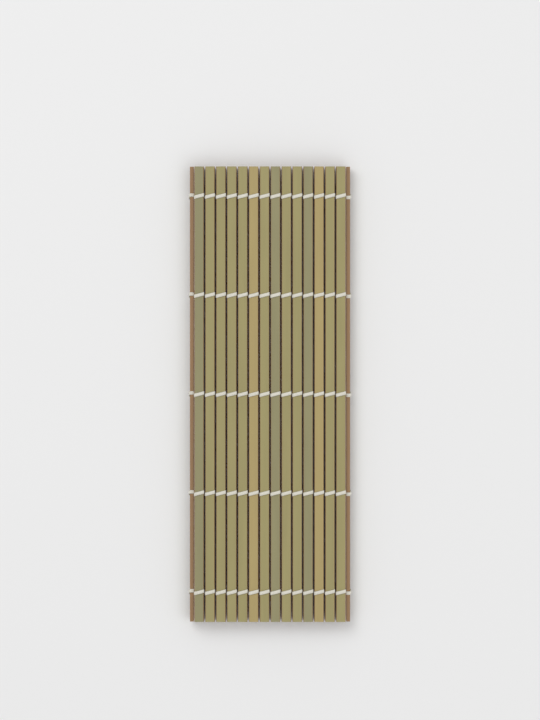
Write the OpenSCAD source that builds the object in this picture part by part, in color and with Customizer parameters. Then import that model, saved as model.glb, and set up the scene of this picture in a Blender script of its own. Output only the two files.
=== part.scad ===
// Bamboo sushi rolling mat, folded flat as it is sold
// Lies on its back: X across the slats, Y along them, Z up out of the front
// Every slat is a sub-part, and so is the set of thread wraps that holds it

/* [Slats] */
// Length of every slat, mm
slat_length = 240; // [150:1:300]
// Width of one slat, mm
slat_width = 4.9; // [3:0.1:8]
// Thickness of one slat, mm
slat_thickness = 2; // [1.2:0.1:4]
// Gap between two slats, where the thread passes, mm
slat_gap = 0.85; // [0.7:0.05:1.5]
// Bevel along the two skin-side edges of a slat, mm
slat_bevel = 0.25; // [0.1:0.05:0.5]

/* [Thread] */
// How far a thread stands above the slat, mm
thread_rise = 0.75; // [0.5:0.05:1.2]
// Width of a thread along the slat, mm
thread_width = 1.5; // [0.8:0.1:3]
// Thickness of the thread pressed into a gap, mm
thread_pressed = 0.25; // [0.1:0.05:0.3]
// Distance from a wrap's inner corner to its full height, mm
thread_run_in = 1; // [0.8:0.1:1.5]
// Distance between neighbouring thread rows, mm
row_spacing = 52.2; // [30:0.1:60]

/* [Hidden] */
leaf_count = 14;
row_count = 5;
pitch = slat_width + slat_gap;
half_width = slat_width / 2;
half_thickness = slat_thickness / 2;
wrap_half_height = half_thickness + thread_rise;
back_z = wrap_half_height;
fold_x = leaf_count * pitch / 2;
edge_x = fold_x + half_thickness;
edge_z = back_z + half_thickness + pitch / 2;
front_z = back_z + slat_thickness + pitch;
bamboo = [0.62, 0.58, 0.37];
cotton = [0.93, 0.92, 0.87];

function leaf_x(i) = (i - (leaf_count + 1) / 2) * pitch;

// One slat round its own centre, with the skin side towards +Z
module slat() {
    color(bamboo)
        rotate([90, 0, 0])
            linear_extrude(slat_length, center = true)
                polygon([
                    [-half_width, -half_thickness],
                    [half_width, -half_thickness],
                    [half_width, half_thickness - slat_bevel],
                    [half_width - slat_bevel, half_thickness],
                    [-half_width + slat_bevel, half_thickness],
                    [-half_width, half_thickness - slat_bevel]
                ]);
}

// The outline of one thread wrap, full on the skin side and drawn in below
module wrap_outline() {
    pressed_x = half_width + thread_pressed;
    polygon([
        [-pressed_x, -half_thickness],
        [-half_width + thread_run_in, -wrap_half_height],
        [half_width - thread_run_in, -wrap_half_height],
        [pressed_x, -half_thickness],
        [pressed_x, half_thickness],
        [half_width, wrap_half_height],
        [-half_width, wrap_half_height],
        [-pressed_x, half_thickness]
    ]);
}

// The wraps of every thread row round one slat
module wraps() {
    color(cotton)
        for (row = [0 : row_count - 1])
            translate([0, (row - (row_count - 1) / 2) * row_spacing, 0])
                rotate([90, 0, 0])
                    linear_extrude(thread_width, center = true)
                        difference() {
                            wrap_outline();
                            square([slat_width, slat_thickness], center = true);
                        }
}

// Where each group of slats lies in the folded mat
module in_front(i) {
    translate([leaf_x(i), 0, front_z]) children();
}

module in_back(i) {
    translate([leaf_x(i), 0, back_z]) rotate([0, 180, 0]) children();
}

module at_side(side) {
    translate([side * edge_x, 0, edge_z]) rotate([0, side * 90, 0]) children();
}

for (i = [1 : leaf_count]) {
    in_front(i) slat();
    in_front(i) wraps();
    in_back(i) slat();
    in_back(i) wraps();
}
at_side(1) slat();  // right_slat
at_side(1) wraps();  // right_threads
at_side(-1) slat();  // left_slat
at_side(-1) wraps();  // left_threads
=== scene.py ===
"""Looks of a bamboo sushi rolling mat, folded flat and seen from above."""

import math

import bpy
from mathutils import Matrix, Vector


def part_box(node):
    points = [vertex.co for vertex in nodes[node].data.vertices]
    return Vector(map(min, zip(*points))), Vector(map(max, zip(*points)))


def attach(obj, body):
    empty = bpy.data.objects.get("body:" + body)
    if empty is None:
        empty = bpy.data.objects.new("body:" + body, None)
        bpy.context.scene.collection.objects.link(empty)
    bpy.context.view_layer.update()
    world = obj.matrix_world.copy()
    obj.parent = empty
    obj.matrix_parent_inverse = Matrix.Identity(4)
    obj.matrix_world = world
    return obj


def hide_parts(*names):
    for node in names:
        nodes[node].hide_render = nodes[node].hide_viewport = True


MM = 0.001
LEAF_COUNT = 14
ROW_COUNT = 5
ROW_SPACING = 52.2 * MM
THREAD_RISE = 0.75 * MM
THREAD_WIDTH = 1.9 * MM
THREAD_PRESSED = 0.12 * MM
THREAD_SLANT = 0.65 * MM
LOOP_STEPS = 32
SECTION_SIDES = 8
FLESH = (0.40, 0.235, 0.11)
COTTON = (0.85, 0.82, 0.72)
GREEN_SKIN = (0.345, 0.30, 0.125)
YELLOW_SKIN = (0.42, 0.325, 0.13)
GREY_SKIN = (0.285, 0.26, 0.13)
YELLOW_SLATS = (6, 12)
GREY_SLATS = (1, 8, 11)
FLOOR_GREY = 0.86
CAMERA_HEIGHT = 1.5
CAMERA_RISE = 0.018
PHOTO_HEIGHT = 0.382
SENSOR = 24
FLOOR_SIZE = 6
WORLD_STRENGTH = 0.6
KEY_POWER = 12.5
FILL_POWER = 6.5
GRAIN_SCALE = (2600, 14, 2600)
CLOUD_SCALE = (160, 22, 160)
FUZZ_SCALE = (4000, 4000, 4000)
STRAND_SCALE = 700
SKIN_FACING = 0.9
LOOP_SQUARENESS = 0.45
FULLNESS_POWER = 1.5
MIX_LOW = 6
MIX_HIGH = 7
MIX_RESULT = 2

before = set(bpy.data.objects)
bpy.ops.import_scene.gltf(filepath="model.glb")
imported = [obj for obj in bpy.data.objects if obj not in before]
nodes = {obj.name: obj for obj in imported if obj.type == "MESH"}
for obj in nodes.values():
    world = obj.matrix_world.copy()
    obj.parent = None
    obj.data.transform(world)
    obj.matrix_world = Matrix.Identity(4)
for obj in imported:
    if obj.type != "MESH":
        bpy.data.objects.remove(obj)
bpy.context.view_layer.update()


def add_node(tree, kind, **values):
    """Adds one shader node and sets its plain inputs by name."""
    made = tree.nodes.new(kind)
    for name, value in values.items():
        made.inputs[name.replace("_", " ")].default_value = value
    return made


def new_material(name, roughness):
    """A material with its node tree, its surface shader and object coordinates."""
    material = bpy.data.materials.new(name)
    material.use_nodes = True
    tree = material.node_tree
    shader = tree.nodes["Principled BSDF"]
    shader.inputs["Roughness"].default_value = roughness
    return material, tree, shader, tree.nodes.new("ShaderNodeTexCoord")


def stretched_noise(tree, coordinates, scale, detail):
    """Noise whose coordinates are scaled a different amount along each axis."""
    mapping = tree.nodes.new("ShaderNodeMapping")
    mapping.inputs["Scale"].default_value = scale
    noise = add_node(tree, "ShaderNodeTexNoise", Scale=1.0, Detail=detail)
    tree.links.new(coordinates.outputs["Object"], mapping.inputs["Vector"])
    tree.links.new(mapping.outputs["Vector"], noise.inputs["Vector"])
    return noise


def mixed_colour(tree, factor, low, high):
    """A colour between two others, each a colour value or another node's output."""
    mix = tree.nodes.new("ShaderNodeMix")
    mix.data_type = "RGBA"
    tree.links.new(factor, mix.inputs["Factor"])
    for socket, value in ((mix.inputs[MIX_LOW], low), (mix.inputs[MIX_HIGH], high)):
        if isinstance(value, tuple):
            socket.default_value = (*value, 1)
        else:
            tree.links.new(value, socket)
    return mix.outputs[MIX_RESULT]


def add_bump(tree, shader, height, strength, distance):
    """Roughens the shading of the surface by a noise or wave."""
    bump = add_node(tree, "ShaderNodeBump", Strength=strength, Distance=distance)
    tree.links.new(height, bump.inputs["Height"])
    tree.links.new(bump.outputs["Normal"], shader.inputs["Normal"])


def scaled(colour, share):
    """A colour made darker or lighter."""
    return tuple(channel * share for channel in colour)


def bamboo(name, skin, skin_side):
    """Bamboo with fine grain along Y: green skin on one side, orange flesh on the rest."""
    material, tree, shader, coordinates = new_material(name, 0.42)
    streaks = stretched_noise(tree, coordinates, GRAIN_SCALE, 4)
    clouds = stretched_noise(tree, coordinates, CLOUD_SCALE, 3)
    dark = scaled(skin, 0.72)
    light = scaled(skin, 1.18)
    clouded = mixed_colour(tree, clouds.outputs["Fac"], dark, light)
    grained = mixed_colour(tree, streaks.outputs["Fac"], clouded, skin)
    flesh = mixed_colour(tree, streaks.outputs["Fac"], scaled(FLESH, 0.6), FLESH)
    facing = tree.nodes.new("ShaderNodeVectorMath")
    facing.operation = "DOT_PRODUCT"
    facing.inputs[1].default_value = skin_side
    tree.links.new(coordinates.outputs["Normal"], facing.inputs[0])
    is_skin = tree.nodes.new("ShaderNodeMath")
    is_skin.operation = "GREATER_THAN"
    is_skin.inputs[1].default_value = SKIN_FACING
    tree.links.new(facing.outputs["Value"], is_skin.inputs[0])
    colour = mixed_colour(tree, is_skin.outputs[0], flesh, grained)
    tree.links.new(colour, shader.inputs["Base Color"])
    add_bump(tree, shader, streaks.outputs["Fac"], 0.35, 0.0002)
    return material


def cotton():
    """Soft off-white thread with the fine slanting lines of its strands."""
    material, tree, shader, coordinates = new_material("cotton_thread", 0.9)
    fuzz = stretched_noise(tree, coordinates, FUZZ_SCALE, 3)
    colour = mixed_colour(tree, fuzz.outputs["Fac"], scaled(COTTON, 0.8), COTTON)
    tree.links.new(colour, shader.inputs["Base Color"])
    shader.inputs["Sheen Weight"].default_value = 0.3
    strands = add_node(tree, "ShaderNodeTexWave", Scale=STRAND_SCALE, Distortion=2.0)
    strands.bands_direction = "DIAGONAL"
    tree.links.new(coordinates.outputs["Object"], strands.inputs["Vector"])
    add_bump(tree, shader, strands.outputs["Fac"], 0.5, 0.0003)
    return material


def rounded(value):
    """Pushes a sine or cosine outwards, so that a circle becomes a rounded box."""
    return math.copysign(abs(value) ** LOOP_SQUARENESS, value)


def thread_loops(name, half_width, half_thickness, placed):
    """One plump slanting loop of thread for each row, round a slat at its own centre."""
    points = []
    faces = []
    for row in range(ROW_COUNT):
        row_y = (row - (ROW_COUNT - 1) / 2) * ROW_SPACING
        first = len(points)
        for step in range(LOOP_STEPS):
            turn = math.tau * step / LOOP_STEPS
            across = rounded(math.cos(turn))
            up = rounded(math.sin(turn))
            fullness = abs(up) ** FULLNESS_POWER
            thick = THREAD_PRESSED + (THREAD_RISE / 2 - THREAD_PRESSED) * fullness
            centre = Vector((
                across * (half_width + THREAD_PRESSED),
                row_y + across * THREAD_SLANT,
                up * (half_thickness + thick),
            ))
            outward = Vector((across * (1 - fullness), 0, up)).normalized()
            for side in range(SECTION_SIDES):
                angle = math.tau * side / SECTION_SIDES
                offset = outward * (thick * math.cos(angle))
                offset.y += THREAD_WIDTH / 2 * math.sin(angle)
                points.append(placed @ (centre + offset))
        for step in range(LOOP_STEPS):
            here = first + step * SECTION_SIDES
            after = first + (step + 1) % LOOP_STEPS * SECTION_SIDES
            for side in range(SECTION_SIDES):
                beside = (side + 1) % SECTION_SIDES
                faces.append((here + side, here + beside, after + beside, after + side))
    mesh = bpy.data.meshes.new(name)
    mesh.from_pydata(points, [], faces)
    mesh.shade_smooth()
    loops = bpy.data.objects.new(name, mesh)
    bpy.context.collection.objects.link(loops)
    return loops


def dress(label, body, turn_degrees, skin):
    """Gives one slat its bamboo and its thread loops."""
    slat = nodes[label.format("slat")]
    low, high = (Vector(corner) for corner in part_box(slat.name))
    size = high - low
    turn = Matrix.Rotation(math.radians(turn_degrees), 4, "Y")
    skin_side = turn @ Vector((0, 0, 1))
    slat.data.materials.clear()
    slat.data.materials.append(bamboo("bamboo_" + body, skin, skin_side))
    placed = Matrix.Translation((low + high) / 2) @ turn
    half_width = max(size.x, size.z) / 2
    half_thickness = min(size.x, size.z) / 2
    loops = thread_loops(label.format("cotton"), half_width, half_thickness, placed)
    loops.data.materials.append(thread_material)
    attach(loops, body)
    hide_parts(label.format("threads"))


def skin_of(number):
    """The skin colour of a slat, counted from the left."""
    if number in YELLOW_SLATS:
        return YELLOW_SKIN
    if number in GREY_SLATS:
        return GREY_SKIN
    return GREEN_SKIN


def add_light(name, place, size, power):
    """A square soft light that looks at the middle of the mat."""
    light = bpy.data.lights.new(name, "AREA")
    light.size = size
    light.energy = power
    lamp = bpy.data.objects.new(name, light)
    lamp.location = place
    lamp.rotation_euler = (-Vector(place)).to_track_quat("-Z", "Y").to_euler()
    bpy.context.collection.objects.link(lamp)


def add_studio():
    """The pale floor, the world, the lights and the camera."""
    bpy.ops.mesh.primitive_plane_add(size=FLOOR_SIZE)
    floor = bpy.context.object
    floor.name = "floor"
    material, _, shader, _ = new_material("floor_paper", 0.95)
    shader.inputs["Base Color"].default_value = (FLOOR_GREY, FLOOR_GREY, FLOOR_GREY, 1)
    floor.data.materials.append(material)
    scene = bpy.context.scene
    scene.view_settings.view_transform = "Standard"
    scene.world = bpy.data.worlds.new("studio")
    scene.world.use_nodes = True
    background = scene.world.node_tree.nodes["Background"]
    background.inputs["Strength"].default_value = WORLD_STRENGTH
    background.inputs["Color"].default_value = (1, 1, 1, 1)
    add_light("key_light", (-0.7, 0.9, 1.6), 1.2, KEY_POWER)
    add_light("fill_light", (0.9, -0.5, 1.5), 1.5, FILL_POWER)
    camera = bpy.data.objects.new("camera", bpy.data.cameras.new("camera"))
    camera.location = (0, CAMERA_RISE, CAMERA_HEIGHT)
    camera.data.sensor_fit = "VERTICAL"
    camera.data.sensor_height = SENSOR
    camera.data.lens = SENSOR * CAMERA_HEIGHT / PHOTO_HEIGHT
    bpy.context.collection.objects.link(camera)
    scene.camera = camera


thread_material = cotton()
for number in range(1, LEAF_COUNT + 1):
    dress(f"front_{{}}_{number}", f"front_{number}", 0, skin_of(number))
    dress(f"back_{{}}_{number}", f"back_{number}", 180, skin_of(number))
dress("right_{}", "right_edge", 90, GREEN_SKIN)
dress("left_{}", "left_edge", -90, GREEN_SKIN)
add_studio()
